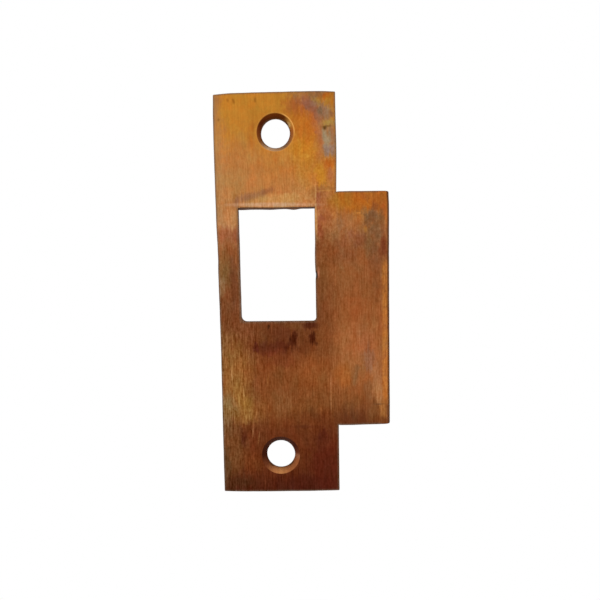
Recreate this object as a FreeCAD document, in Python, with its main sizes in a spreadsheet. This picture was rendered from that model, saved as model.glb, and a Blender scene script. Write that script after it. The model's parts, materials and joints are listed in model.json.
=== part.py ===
import FreeCAD, Part
import math
import os

import Sketcher
from FreeCAD import Vector

# Door strike plate of sheet brass, in millimetres, made as one piece.
# A flat strip carries a latch opening and two countersunk screw holes. A lip on its right edge is bent back a
# little, and its leading edge is rounded over, so that a latch rides up on it.
# Frame: +Z runs up the strip, +X towards the lip, and -Y out of the door frame towards the latch.
# The origin is on the back face, midway between the screw holes.

NODE = "strike_plate"
PARTS_FOLDER = "parts"

# Driving dimensions: name, value, what it measures
SIZES = (
    ("plate_width", 25.4, "across the strip, without the lip"),
    ("plate_height", 85.1, "from end to end of the strip"),
    ("plate_thickness", 1.8, "sheet thickness"),
    ("lip_reach", 11.3, "from the strip's edge to the lip's leading edge"),
    ("lip_height", 50.05, "along the lip's leading edge"),
    ("lip_drop", 20.35, "from the strip's top end down to the lip"),
    ("bend_land", 0.6, "flat run from the strip's edge to the start of the bend"),
    ("bend_radius", 50.0, "radius of the bend at the front face"),
    ("bend_angle", 4.5, "degrees that the lip leans back"),
    ("leading_edge_radius", 1.2, "rounding of the lip's front leading edge"),
    ("opening_width", 16.2, "across the latch opening"),
    ("opening_height", 24.0, "up the latch opening"),
    ("opening_drop", 23.45, "from the strip's top end down to the opening"),
    ("opening_corner_radius", 0.9, "filed lower corners of the opening"),
    ("screw_inset", 8.1, "from each end of the strip to its screw hole"),
    ("screw_hole_diameter", 6.2, "through each screw hole"),
    ("countersink_diameter", 8.3, "mouth of each countersink"),
    ("countersink_angle", 90.0, "degrees across each countersink"),
    ("edge_round", 0.2, "rounding of the front outline"),
)

# Ends of a sketch element, as the sketcher numbers them from 1
START, END, CENTRE = range(1, 4)

# The sketch's own origin and axes
ORIGIN = (-1, 1)
HORIZONTAL_AXIS = -1
VERTICAL_AXIS = -2

# How far a face's outward normal has to point to the front, as a cosine, to count as a front or a side
FACES_FRONT = 0.3
FACES_SIDE = 0.1


def make_sheet(doc):
    sheet = doc.addObject("Spreadsheet::Sheet", "sizes")
    for row, (name, value, meaning) in enumerate(SIZES, start=1):
        sheet.set(f"A{row}", name)
        sheet.set(f"B{row}", str(value))
        sheet.set(f"C{row}", meaning)
        sheet.setAlias(f"B{row}", name)
    doc.recompute()
    return sheet


def make_sketch(body, name, plane_role, lift=None):
    """A sketch on one of the body's origin planes, lifted along the plane's normal by a formula."""
    plane = next(feature for feature in body.Origin.OriginFeatures if feature.Role == plane_role)
    sketch = body.newObject("Sketcher::SketchObject", name)
    sketch.AttachmentSupport = [(plane, "")]
    sketch.MapMode = "FlatFace"
    if lift:
        sketch.setExpression("AttachmentOffset.Base.z", lift)
    return sketch


def add_lines(sketch, corners):
    """Straight lines from corner to corner, open at the end, with their ends joined."""
    lines = []
    for begin, end in zip(corners, corners[1:]):
        lines.append(sketch.addGeometry(Part.LineSegment(begin, end), False))
    for line, following in zip(lines, lines[1:]):
        sketch.addConstraint(Sketcher.Constraint("Coincident", line, END, following, START))
    return lines


def add_arc(sketch, centre, begin, end):
    """An arc that turns anticlockwise from begin to end."""
    circle = Part.Circle(centre, Vector(0, 0, 1), (begin - centre).Length)
    return sketch.addGeometry(Part.ArcOfCircle(circle, circle.parameter(begin), circle.parameter(end)), False)


def relate(sketch, kind, *places):
    sketch.addConstraint(Sketcher.Constraint(kind, *places))


def measure(sketch, name, formula, kind, *places_and_value):
    """A named dimension of the sketch, driven by a formula in the sheet's sizes."""
    index = sketch.addConstraint(Sketcher.Constraint(kind, *places_and_value))
    sketch.renameConstraint(index, name)
    sketch.setExpression(f"Constraints.{name}", formula)


def draw_strip(body, sheet):
    """The strip's outline, centred on the origin."""
    half_width = sheet.plate_width / 2
    half_height = sheet.plate_height / 2
    sketch = make_sketch(body, "strip_outline", "XZ_Plane")
    low_left = Vector(-half_width, -half_height, 0)
    low_right = Vector(half_width, -half_height, 0)
    high_right = Vector(half_width, half_height, 0)
    high_left = Vector(-half_width, half_height, 0)
    bottom, right, top, left = add_lines(sketch, (low_left, low_right, high_right, high_left, low_left))
    relate(sketch, "Coincident", left, END, bottom, START)
    relate(sketch, "Horizontal", bottom)
    relate(sketch, "Horizontal", top)
    relate(sketch, "Vertical", left)
    relate(sketch, "Vertical", right)
    relate(sketch, "Symmetric", bottom, START, top, START, *ORIGIN)
    measure(sketch, "width", "sizes.plate_width", "DistanceX", bottom, START, bottom, END, sheet.plate_width)
    measure(sketch, "height", "sizes.plate_height", "DistanceY", right, START, right, END, sheet.plate_height)
    return sketch


def draw_lip_section(body, sheet):
    """The lip's cross-section, seen from above: flat root, bend, lean, rounded leading edge."""
    lift = "sizes.plate_height / 2 - sizes.lip_drop - sizes.lip_height"
    sketch = make_sketch(body, "lip_section", "XY_Plane", lift)
    root = sheet.plate_width / 2
    thickness = sheet.plate_thickness
    bend_start = root + sheet.bend_land
    bend_centre = Vector(bend_start, sheet.bend_radius - thickness, 0)
    lean = FreeCAD.Rotation(Vector(0, 0, 1), sheet.bend_angle)
    along = lean.multVec(Vector(1, 0, 0))
    backward = lean.multVec(Vector(0, 1, 0))
    bend_end = bend_centre - backward * sheet.bend_radius
    round_x = root + sheet.lip_reach - sheet.leading_edge_radius
    to_round = (round_x - (bend_end + backward * sheet.leading_edge_radius).x) / along.x
    round_start = bend_end + along * to_round
    round_centre = round_start + backward * sheet.leading_edge_radius
    round_end = round_centre + along * sheet.leading_edge_radius
    tip_back = round_end + backward * (thickness - sheet.leading_edge_radius)
    bend_back = bend_end + backward * thickness

    land_back = Vector(bend_start, 0, 0)
    land_front = Vector(bend_start, -thickness, 0)
    root_corners = (Vector(root, 0, 0), Vector(root, -thickness, 0))
    root_back, root_side, root_front = add_lines(sketch, (land_back, *root_corners, land_front))
    bend_front = add_arc(sketch, bend_centre, land_front, bend_end)
    (lip_front,) = add_lines(sketch, (bend_end, round_start))
    leading_edge = add_arc(sketch, round_centre, round_start, round_end)
    tip, lip_back = add_lines(sketch, (round_end, tip_back, bend_back))
    bend_rear = add_arc(sketch, bend_centre, land_back, bend_back)

    relate(sketch, "Horizontal", root_back)
    relate(sketch, "Vertical", root_side)
    relate(sketch, "Horizontal", root_front)
    relate(sketch, "PointOnObject", root_back, END, HORIZONTAL_AXIS)
    relate(sketch, "Tangent", root_front, END, bend_front, START)
    relate(sketch, "Tangent", bend_front, END, lip_front, START)
    relate(sketch, "Tangent", lip_front, END, leading_edge, START)
    relate(sketch, "Tangent", leading_edge, END, tip, START)
    relate(sketch, "Perpendicular", lip_front, tip)
    relate(sketch, "Parallel", lip_front, lip_back)
    relate(sketch, "Tangent", lip_back, END, bend_rear, END)
    relate(sketch, "Tangent", bend_rear, START, root_back, START)
    relate(sketch, "Coincident", bend_rear, CENTRE, bend_front, CENTRE)

    measure(sketch, "root", "sizes.plate_width / 2", "DistanceX", *ORIGIN, root_back, END, root)
    measure(sketch, "thickness", "sizes.plate_thickness", "Distance", root_side, thickness)
    measure(sketch, "land", "sizes.bend_land", "Distance", root_front, sheet.bend_land)
    measure(sketch, "bend", "sizes.bend_radius", "Radius", bend_front, sheet.bend_radius)
    measure(sketch, "lean", "sizes.bend_angle", "Angle", lip_front, math.radians(sheet.bend_angle))
    measure(sketch, "edge", "sizes.leading_edge_radius", "Radius", leading_edge, sheet.leading_edge_radius)
    reach = "sizes.plate_width / 2 + sizes.lip_reach - sizes.leading_edge_radius"
    measure(sketch, "reach", reach, "DistanceX", *ORIGIN, leading_edge, CENTRE, round_x)
    return sketch


def draw_opening(body, sheet):
    """The latch opening, with filed lower corners and square upper ones."""
    sketch = make_sketch(body, "opening_outline", "XZ_Plane", "sizes.plate_thickness")
    half_width = sheet.opening_width / 2
    top_z = sheet.plate_height / 2 - sheet.opening_drop
    bottom_z = top_z - sheet.opening_height
    radius = sheet.opening_corner_radius
    corner_z = bottom_z + radius
    corner_x = half_width - radius
    left_foot = Vector(-half_width, corner_z, 0)
    right_foot = Vector(half_width, corner_z, 0)
    upper_corners = (Vector(-half_width, top_z, 0), Vector(half_width, top_z, 0))
    bottom_right = Vector(corner_x, bottom_z, 0)
    bottom_left = Vector(-corner_x, bottom_z, 0)
    left, top, right = add_lines(sketch, (left_foot, *upper_corners, right_foot))
    (bottom,) = add_lines(sketch, (bottom_right, bottom_left))
    left_corner = add_arc(sketch, Vector(-corner_x, corner_z, 0), left_foot, bottom_left)
    right_corner = add_arc(sketch, Vector(corner_x, corner_z, 0), bottom_right, right_foot)
    relate(sketch, "Vertical", left)
    relate(sketch, "Vertical", right)
    relate(sketch, "Horizontal", bottom)
    relate(sketch, "Tangent", right, END, right_corner, END)
    relate(sketch, "Tangent", right_corner, START, bottom, START)
    relate(sketch, "Tangent", bottom, END, left_corner, END)
    relate(sketch, "Tangent", left_corner, START, left, START)
    relate(sketch, "Equal", left_corner, right_corner)
    relate(sketch, "Symmetric", top, START, top, END, VERTICAL_AXIS)
    measure(sketch, "width", "sizes.opening_width", "DistanceX", top, START, top, END, sheet.opening_width)
    measure(sketch, "height", "sizes.opening_height", "DistanceY", bottom, END, top, START, top_z - bottom_z)
    top_formula = "sizes.plate_height / 2 - sizes.opening_drop"
    measure(sketch, "top", top_formula, "DistanceY", *ORIGIN, top, START, top_z)
    measure(sketch, "corner", "sizes.opening_corner_radius", "Radius", left_corner, radius)
    return sketch


def draw_screw_holes(body, sheet):
    """Two circles that place the screw holes on the strip's middle line."""
    sketch = make_sketch(body, "screw_places", "XZ_Plane", "sizes.plate_thickness")
    radius = sheet.screw_hole_diameter / 2
    half_spacing = sheet.plate_height / 2 - sheet.screw_inset
    upward = Vector(0, 0, 1)
    upper = sketch.addGeometry(Part.Circle(Vector(0, half_spacing, 0), upward, radius), False)
    lower = sketch.addGeometry(Part.Circle(Vector(0, -half_spacing, 0), upward, radius), False)
    relate(sketch, "PointOnObject", upper, CENTRE, VERTICAL_AXIS)
    relate(sketch, "Symmetric", upper, CENTRE, lower, CENTRE, *ORIGIN)
    relate(sketch, "Equal", upper, lower)
    measure(sketch, "bore", "sizes.screw_hole_diameter", "Diameter", upper, sheet.screw_hole_diameter)
    height = "sizes.plate_height / 2 - sizes.screw_inset"
    measure(sketch, "height", height, "DistanceY", *ORIGIN, upper, CENTRE, half_spacing)
    return sketch


def front_outline_edges(shape):
    """Names of the outer edges where a surface that faces the front meets one of the sheet's side walls."""
    names = []
    for number, edge in enumerate(shape.Edges, start=1):
        middle = edge.valueAt((edge.FirstParameter + edge.LastParameter) / 2)
        faces = shape.ancestorsOfType(edge, Part.Face)
        frontal = [-face.normalAt(*face.Surface.parameter(middle)).y for face in faces]
        if max(frontal) > FACES_FRONT and min(frontal) < FACES_SIDE:
            names.append(f"Edge{number}")
    return names


def make_plate(doc, sheet):
    body = doc.addObject("PartDesign::Body", NODE)
    body.Label = NODE
    body.Placement = FreeCAD.Placement()

    strip = body.newObject("PartDesign::Pad", "strip")
    strip.Profile = draw_strip(body, sheet)
    strip.setExpression("Length", "sizes.plate_thickness")
    doc.recompute()

    lip = body.newObject("PartDesign::Pad", "lip")
    lip.Profile = draw_lip_section(body, sheet)
    lip.setExpression("Length", "sizes.lip_height")
    doc.recompute()

    rounded = body.newObject("PartDesign::Fillet", "rounded_outline")
    rounded.Base = (lip, front_outline_edges(lip.Shape))
    rounded.setExpression("Radius", "sizes.edge_round")
    doc.recompute()

    opening = body.newObject("PartDesign::Pocket", "latch_opening")
    opening.Profile = draw_opening(body, sheet)
    opening.Type = "ThroughAll"
    doc.recompute()

    screws = body.newObject("PartDesign::Hole", "screw_holes")
    screws.Profile = draw_screw_holes(body, sheet)
    doc.recompute()
    screws.Threaded = False
    screws.DepthType = "ThroughAll"
    screws.DrillPoint = "Flat"
    screws.HoleCutType = "Countersink"
    screws.HoleCutCustomValues = True
    screws.setExpression("Diameter", "sizes.screw_hole_diameter")
    screws.setExpression("HoleCutDiameter", "sizes.countersink_diameter")
    screws.setExpression("HoleCutCountersinkAngle", "sizes.countersink_angle")
    doc.recompute()
    check_cuts(strip, lip, rounded, opening, screws)
    return body


def check_cuts(strip, lip, rounded, opening, screws):
    """Every feature has to change the solid in its own direction."""
    if not strip.Shape.Volume < lip.Shape.Volume:
        raise RuntimeError("the lip added nothing to the strip")
    for before, after in ((lip, rounded), (rounded, opening), (opening, screws)):
        if not after.Shape.Volume < before.Shape.Volume:
            raise RuntimeError(f"{after.Label} cut nothing")


def check_document(doc, body):
    for item in doc.Objects:
        if "Invalid" in item.State or "Error" in item.State:
            raise RuntimeError(f"{item.Label} failed: {item.State}")
        if item.isDerivedFrom("Sketcher::SketchObject") and not item.FullyConstrained:
            raise RuntimeError(f"{item.Label} is not fully constrained")
    if body.Shape.isNull() or not body.Shape.isValid():
        raise RuntimeError(f"{body.Label} has no valid shape")
    if len(body.Shape.Solids) != 1:
        raise RuntimeError(f"{body.Label} has {len(body.Shape.Solids)} solids")


def main():
    doc = FreeCAD.newDocument("door_strike_plate")
    sheet = make_sheet(doc)
    body = make_plate(doc, sheet)
    check_document(doc, body)
    os.makedirs(PARTS_FOLDER, exist_ok=True)
    body.Shape.exportStep(f"{PARTS_FOLDER}/{body.Label}.step")
    box = body.Shape.optimalBoundingBox()
    extents = f"{box.XLength:.2f} x {box.YLength:.2f} x {box.ZLength:.2f} mm"
    print(f"{body.Label}: {extents}, {body.Shape.Volume:.1f} mm3")


main()
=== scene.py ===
import json
import math
from collections import namedtuple

import bmesh
import bpy
from mathutils import Matrix, Quaternion, Vector, noise


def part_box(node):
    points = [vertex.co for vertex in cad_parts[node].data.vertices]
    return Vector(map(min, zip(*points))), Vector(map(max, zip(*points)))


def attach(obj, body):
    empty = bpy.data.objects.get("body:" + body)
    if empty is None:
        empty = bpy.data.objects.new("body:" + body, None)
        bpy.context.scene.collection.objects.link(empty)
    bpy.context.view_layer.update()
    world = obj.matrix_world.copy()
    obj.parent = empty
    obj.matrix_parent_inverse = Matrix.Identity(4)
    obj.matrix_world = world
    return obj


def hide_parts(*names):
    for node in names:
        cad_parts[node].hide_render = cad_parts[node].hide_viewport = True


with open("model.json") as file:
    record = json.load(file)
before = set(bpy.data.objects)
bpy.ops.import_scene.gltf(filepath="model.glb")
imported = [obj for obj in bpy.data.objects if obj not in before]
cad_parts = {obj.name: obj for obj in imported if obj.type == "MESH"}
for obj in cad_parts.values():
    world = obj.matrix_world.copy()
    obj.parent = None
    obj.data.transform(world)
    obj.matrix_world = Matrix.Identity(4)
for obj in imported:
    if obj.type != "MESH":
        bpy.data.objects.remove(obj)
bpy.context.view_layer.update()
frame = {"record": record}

# The plate is modelled in millimetres and brought to metres at the end
MM = 0.001
PLATE = "strike_plate"
plate_low, plate_high = (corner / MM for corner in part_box(PLATE))
screws = next(mount for mount in frame["record"]["mounts"] if mount["name"] == "screw_holes")

# Strip and lip, from the frame where it gives them
FRONT = plate_low.y
BACK = 0.0
THICKNESS = BACK - FRONT
STRIP_LEFT = plate_low.x
STRIP_RIGHT = -plate_low.x
TOP = plate_high.z
BOTTOM = plate_low.z
LIP_TOP = 22.2
LIP_BOTTOM = -27.85
LEADING_EDGE = plate_high.x

# The lip leans back through a gentle bend, and its leading edge is rounded over
BEND_START = STRIP_RIGHT + 0.6
BEND_RADIUS = 50.0
BEND_ANGLE = math.radians(4.5)
LEADING_RADIUS = 1.2
LEADING_FACETS = 8

# Latch opening, with its two lower corners filed to different roundings
OPENING_SIDE = 8.1
OPENING_TOP = 19.1
OPENING_BOTTOM = -4.9
LEFT_CORNER = 1.15
RIGHT_CORNER = 0.65

# Countersunk screw holes, drilled a little off the strip's middle line: axis, mouth and bore radius
ScrewHole = namedtuple("ScrewHole", "x z mouth bore")
SCREW_HEIGHT = screws["dims"]["spacing_y_mm"] / 2
HOLE_RADIUS = screws["dims"]["hole_r_mm"]
UPPER_HOLE = ScrewHole(0.12, SCREW_HEIGHT + 0.12, 3.97, HOLE_RADIUS - 0.06)
LOWER_HOLE = ScrewHole(-0.15, -SCREW_HEIGHT, 4.2, HOLE_RADIUS)
HOLE_PATCH = 6.0

# Roundings of the edges: radius and number of facets
OUTLINE_ROUND = (0.2, 3)
OPENING_ROUND = (0.08, 2)
MOUTH_ROUND = (0.06, 2)
REAR_ROUND = (0.1, 2)

# Wear along an edge is a smooth bump or several, and reaches only so far in from the edge
Wear = namedtuple("Wear", "height middle length")
EDGE_WEAR_REACH = 2.5

# The opening's right side: a nick that is shallower at the back, a swelling above it, and finer mesh lines
NICK = Wear(0.34, 4.9, 0.6)
NICK_TAPER = 0.8
SWELLING = Wear(0.09, 8.8, 2.8)
NICK_ROOM = 2.1
NICK_STEP = 0.15
NICK_REACH = 6 * NICK_STEP

# The opening's slanting lower side, level at one place
OPENING_TILT = 0.007
LEVEL_PLACE = -1.0

# The opening's upper wall: its front edge lifts, most at the left, and its rear edge hangs in ragged dips
FRONT_LIFT = 0.03
LEFT_LIFT = 0.16
LEFT_LIFT_REACH = 9.0
REAR_DROP = 0.09
REAR_DIPS = (Wear(0.05, -7.0, 1.2), Wear(0.13, -1.3, 2.1), Wear(0.24, 3.7, 1.1), Wear(0.05, 7.0, 1.5))

# Hand-filed sides of strip and lip
LEFT_OUTSET = 0.135
LEFT_HOLLOWS = (Wear(0.18, -9.0, 18.0), Wear(0.16, TOP, 3.5), Wear(0.1, 8.4, 2.0), Wear(0.085, 12.0, 2.6))
RIGHT_BULGE = Wear(0.15, 30.5, 6.0)
LEADING_SWAY = 0.04
LEADING_SWAY_LENGTH = 35.0
LEADING_CORNER = Wear(0.1, LIP_TOP, 1.8)

# Crowned ends, which fall away to the sides and have worn corners
END_CROWN = 0.14
TOP_FALL = 0.1
TOP_CORNERS = (Wear(0.16, STRIP_LEFT, 2.0), Wear(0.12, STRIP_RIGHT, 2.0))
BOTTOM_FALL = 0.12
BOTTOM_CORNER = Wear(0.08, STRIP_LEFT, 2.0)
LIP_CROWN = 0.06

# File marks: depth, lengths of the coarse and the fine ones, and a place in the noise for each edge
FILE_DEPTH = 0.025
COARSE_LENGTH = 2.3
FINE_LENGTH = 0.9
FINE_SHARE = 0.5
COARSE_LAYER = 0.5
FINE_LAYER = 7.5
LEFT_MARKS = 1.5
LEADING_MARKS = 3.5
TOP_MARKS = 5.5
BOTTOM_MARKS = 9.5
LIP_MARKS = 11.5
OPENING_MARKS = 13.5
WALL_MARKS = 17.5

# Slow waves in the faces
FACE_WAVE = 0.015
FACE_WAVE_LENGTH = 9.0
FACE_LAYER = 2.5

# Spacing of the mesh lines over the flat faces, and how close two points are one
LINE_STEP = 0.6
TOLERANCE = 0.0005
SHARP_ANGLE = math.radians(50)

# The mesh's own mark for points on an edge, and how far a face there turns from the front, as a cosine
RIM = "rim"
FLAT = 0.98

# Edges left without the painted edge shade: round the screw holes, and the upper edge of the opening, which
# has a painted highlight instead
UNSHADED_RADIUS = HOLE_PATCH - 1.0
BRIGHT_SIDE = OPENING_SIDE - 0.3
BRIGHT_REACH = 1.0


def spaced(marks, step):
    """Places between the first and last mark, with every mark, no further apart than the step."""
    places = []
    for low, high in zip(marks, marks[1:]):
        count = math.ceil((high - low) / step)
        places += [low + (high - low) * k / count for k in range(count)]
    return places[1:]


def cut_lines(bm, axis, places):
    """Cuts the whole mesh where one coordinate has each of these values."""
    for place in places:
        point = Vector()
        point[axis] = place
        across = Vector()
        across[axis] = 1
        whole = bm.verts[:] + bm.edges[:] + bm.faces[:]
        bmesh.ops.bisect_plane(bm, geom=whole, dist=TOLERANCE, plane_co=point, plane_no=across)


def flat_lip_reach():
    """How far the lip reaches before it is bent, so that its rounded edge then ends at the leading edge."""
    round_place = LEADING_EDGE - LEADING_RADIUS - BEND_START
    drawn_in = (BEND_RADIUS - LEADING_RADIUS) * math.sin(BEND_ANGLE)
    straight = (round_place - drawn_in) / math.cos(BEND_ANGLE)
    return BEND_START + BEND_RADIUS * BEND_ANGLE + straight + LEADING_RADIUS


def is_metal(place):
    """Whether a point of the flat sheet is metal, not in the opening or in a patch round a screw hole."""
    on_lip = LIP_BOTTOM < place.z < LIP_TOP
    cut_out = abs(place.x) < OPENING_SIDE and OPENING_BOTTOM < place.z < OPENING_TOP
    in_patch = abs(place.x) < HOLE_PATCH and abs(abs(place.z) - SCREW_HEIGHT) < HOLE_PATCH
    return (place.x < STRIP_RIGHT or on_lip) and not cut_out and not in_patch


def lay_flat_sheet(bm):
    """The front face of strip and lip, still flat, with the opening and square patches left out."""
    reach = flat_lip_reach()
    middle = Vector(((STRIP_LEFT + reach) / 2, FRONT, (TOP + BOTTOM) / 2))
    extent = Matrix.Diagonal((reach - STRIP_LEFT, TOP - BOTTOM, 1, 1))
    upright = Matrix.Translation(middle) @ Matrix.Rotation(math.pi / 2, 4, "X") @ extent
    bmesh.ops.create_grid(bm, x_segments=1, y_segments=1, size=0.5, matrix=upright)
    round_room = reach - LEADING_RADIUS - LINE_STEP / 4
    columns = (STRIP_LEFT, -OPENING_SIDE, -HOLE_PATCH, HOLE_PATCH, OPENING_SIDE, STRIP_RIGHT, BEND_START)
    cut_lines(bm, 0, [*spaced((*columns, round_room), LINE_STEP), round_room])
    patch_low = SCREW_HEIGHT - HOLE_PATCH
    patch_high = SCREW_HEIGHT + HOLE_PATCH
    rows = (BOTTOM, -patch_high, -patch_low, LIP_BOTTOM, OPENING_BOTTOM, OPENING_TOP, LIP_TOP)
    cut_lines(bm, 2, spaced((*rows, patch_low, patch_high, TOP), LINE_STEP))
    cut_lines(bm, 2, spaced((NICK.middle - NICK_ROOM, NICK.middle + NICK_ROOM), NICK_STEP))
    spare = [face for face in bm.faces if not is_metal(face.calc_center_median())]
    bmesh.ops.delete(bm, geom=spare, context="FACES")


def open_screw_hole(bm, hole):
    """Fills the square patch at one screw hole with a ring round the countersink's mouth."""
    reach = HOLE_PATCH + TOLERANCE
    patch_z = math.copysign(SCREW_HEIGHT, hole.z)
    square = [
        edge
        for edge in bm.edges
        if edge.is_boundary
        and all(abs(vert.co.x) < reach and abs(vert.co.z - patch_z) < reach for vert in edge.verts)
    ]
    drawn_in = bmesh.ops.extrude_edge_only(bm, edges=square)
    axis = Vector((hole.x, FRONT, hole.z))
    for item in drawn_in["geom"]:
        if isinstance(item, bmesh.types.BMVert):
            item.co = axis + (item.co - axis).normalized() * hole.mouth


def thicken(bm):
    """Gives the sheet its thickness, towards the back."""
    pushed = bmesh.ops.extrude_face_region(bm, geom=bm.faces[:])
    rear = [item for item in pushed["geom"] if isinstance(item, bmesh.types.BMVert)]
    bmesh.ops.translate(bm, vec=(0, THICKNESS, 0), verts=rear)
    bmesh.ops.recalc_face_normals(bm, faces=bm.faces)


def from_axis(place, hole):
    """Distance of a point from a screw hole's axis."""
    return math.hypot(place.x - hole.x, place.z - hole.z)


def sink_screw_hole(bm, hole):
    """Draws the hole in to its bore below a countersink of 45 degrees."""
    reach = hole.mouth + TOLERANCE
    walls = [face for face in bm.faces if all(from_axis(vert.co, hole) < reach for vert in face.verts)]
    wall_edges = {edge for face in walls for edge in face.edges}
    wall_verts = {vert for face in walls for vert in face.verts}
    seat = FRONT + hole.mouth - hole.bore
    geom = list(wall_verts) + list(wall_edges) + walls
    bmesh.ops.bisect_plane(bm, geom=geom, dist=TOLERANCE, plane_co=(0, seat, 0), plane_no=(0, 1, 0))
    bore = [v for v in bm.verts if from_axis(v.co, hole) < reach and v.co.y > seat - TOLERANCE]
    share = hole.bore / hole.mouth
    middle = Matrix.Translation((-hole.x, 0, -hole.z))
    bmesh.ops.scale(bm, vec=(share, 1, share), space=middle, verts=bore)


def bevel(bm, edges, radius, facets):
    """Rounds edges over."""
    bmesh.ops.bevel(
        bm, geom=edges, offset=radius, segments=facets, profile=0.5, affect="EDGES", material=-1
    )


def in_opening(place):
    """Whether a point lies on the rim of the latch opening."""
    reach = OPENING_SIDE + TOLERANCE
    return abs(place.x) < reach and OPENING_BOTTOM - TOLERANCE < place.z < OPENING_TOP + TOLERANCE


def in_screw_hole(place):
    """Whether a point lies in a screw hole or on its mouth."""
    return any(from_axis(place, hole) < hole.mouth + TOLERANCE for hole in (UPPER_HOLE, LOWER_HOLE))


def edge_middle(edge):
    """The point halfway along an edge."""
    return (edge.verts[0].co + edge.verts[1].co) / 2


def sharp_edges(bm):
    """The edges where two faces meet at a sharp angle."""
    return [edge for edge in bm.edges if edge.is_manifold and edge.calc_face_angle() > SHARP_ANGLE]


def round_leading_edge(bm):
    """The long round over the lip's front edge."""
    reach = flat_lip_reach() - TOLERANCE
    edges = [
        edge
        for edge in sharp_edges(bm)
        if all(vert.co.x > reach and vert.co.y < FRONT + TOLERANCE for vert in edge.verts)
    ]
    bevel(bm, edges, LEADING_RADIUS, LEADING_FACETS)


def round_opening_corner(bm, corner_x, radius):
    """One filed lower corner of the latch opening: its walls are drawn on to an arc between them."""
    inward = -math.copysign(1, corner_x)
    for vert in bm.verts:
        along = inward * (vert.co.x - corner_x)
        up = vert.co.z - OPENING_BOTTOM
        if in_opening(vert.co) and along + up < radius:
            turn = (1 - (up - along) / radius) * math.pi / 4
            vert.co.x = corner_x + inward * radius * (1 - math.cos(turn))
            vert.co.z = OPENING_BOTTOM + radius * (1 - math.sin(turn))


def soften_edges(bm):
    """Small roundings on the outline, the opening, the countersinks and the rear edges."""
    mouths = [edge for edge in sharp_edges(bm) if in_screw_hole(edge_middle(edge))]
    bevel(bm, [edge for edge in mouths if edge_middle(edge).y < FRONT + TOLERANCE], *MOUTH_ROUND)
    openings = [edge for edge in sharp_edges(bm) if in_opening(edge_middle(edge))]
    bevel(bm, [edge for edge in openings if edge_middle(edge).y < FRONT + TOLERANCE], *OPENING_ROUND)
    outline = [
        edge
        for edge in sharp_edges(bm)
        if edge.is_convex
        and edge_middle(edge).y < BACK - TOLERANCE
        and not in_opening(edge_middle(edge))
        and not in_screw_hole(edge_middle(edge))
    ]
    bevel(bm, outline, *OUTLINE_ROUND)
    rear = [edge for edge in sharp_edges(bm) if all(vert.co.y > BACK - TOLERANCE for vert in edge.verts)]
    bevel(bm, rear, *REAR_ROUND)


def bend_lip(bm):
    """Leans the lip back: an arc of the bend's radius, then straight on to the leading edge."""
    for vert in bm.verts:
        run = vert.co.x - BEND_START
        if run <= 0:
            continue
        turn = min(run / BEND_RADIUS, BEND_ANGLE)
        straight = max(run - BEND_RADIUS * BEND_ANGLE, 0)
        radius = BEND_RADIUS - (vert.co.y - FRONT)
        vert.co.x = BEND_START + radius * math.sin(turn) + straight * math.cos(turn)
        vert.co.y = FRONT + BEND_RADIUS - radius * math.cos(turn) + straight * math.sin(turn)


def fade(distance, reach):
    """1 at no distance, easing to 0 at the reach."""
    share = min(max(1 - distance / reach, 0), 1)
    return share * share * (3 - 2 * share)


def rise(place, *bumps):
    """The height of smooth bumps at one place along an edge."""
    return sum(bump.height * math.exp(-(((place - bump.middle) / bump.length) ** 2)) for bump in bumps)


def file_marks(place, edge):
    """Small uneven file marks along an edge."""
    coarse = noise.noise(Vector((place / COARSE_LENGTH, edge, COARSE_LAYER)))
    fine = noise.noise(Vector((place / FINE_LENGTH, edge, FINE_LAYER)))
    return FILE_DEPTH * (coarse + FINE_SHARE * fine)


def wear_outline(bm):
    """Hand-filed sides: the left side is hollow, the ends are a little crowned, the corners worn."""
    for vert in bm.verts:
        x, _, z = vert.co
        left = fade(x - STRIP_LEFT, EDGE_WEAR_REACH)
        left_form = rise(z, *LEFT_HOLLOWS) - LEFT_OUTSET
        vert.co.x += left * (left_form + file_marks(z, LEFT_MARKS))
        lead = fade(LEADING_EDGE - x, EDGE_WEAR_REACH)
        sway = LEADING_SWAY * math.cos(math.pi * (z - LIP_BOTTOM) / LEADING_SWAY_LENGTH)
        vert.co.x += lead * (sway - rise(z, LEADING_CORNER) + file_marks(z, LEADING_MARKS))
        outward = (abs(x) / STRIP_RIGHT) ** 3
        top = fade(TOP - z, EDGE_WEAR_REACH)
        top_form = END_CROWN - TOP_FALL * outward - rise(x, *TOP_CORNERS)
        vert.co.z += top * (top_form + file_marks(x, TOP_MARKS))
        bottom = fade(z - BOTTOM, EDGE_WEAR_REACH)
        bottom_form = END_CROWN - BOTTOM_FALL * outward - rise(x, BOTTOM_CORNER)
        vert.co.z -= bottom * (bottom_form + file_marks(x, BOTTOM_MARKS))
        if x > STRIP_RIGHT:
            lip_top = fade(abs(LIP_TOP - z), EDGE_WEAR_REACH)
            lip_bottom = fade(abs(z - LIP_BOTTOM), EDGE_WEAR_REACH)
            vert.co.z += (lip_top - lip_bottom) * (LIP_CROWN + file_marks(x, LIP_MARKS))
        elif z > LIP_TOP:
            right = fade(STRIP_RIGHT - x, EDGE_WEAR_REACH)
            vert.co.x += right * rise(z, RIGHT_BULGE)


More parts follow.
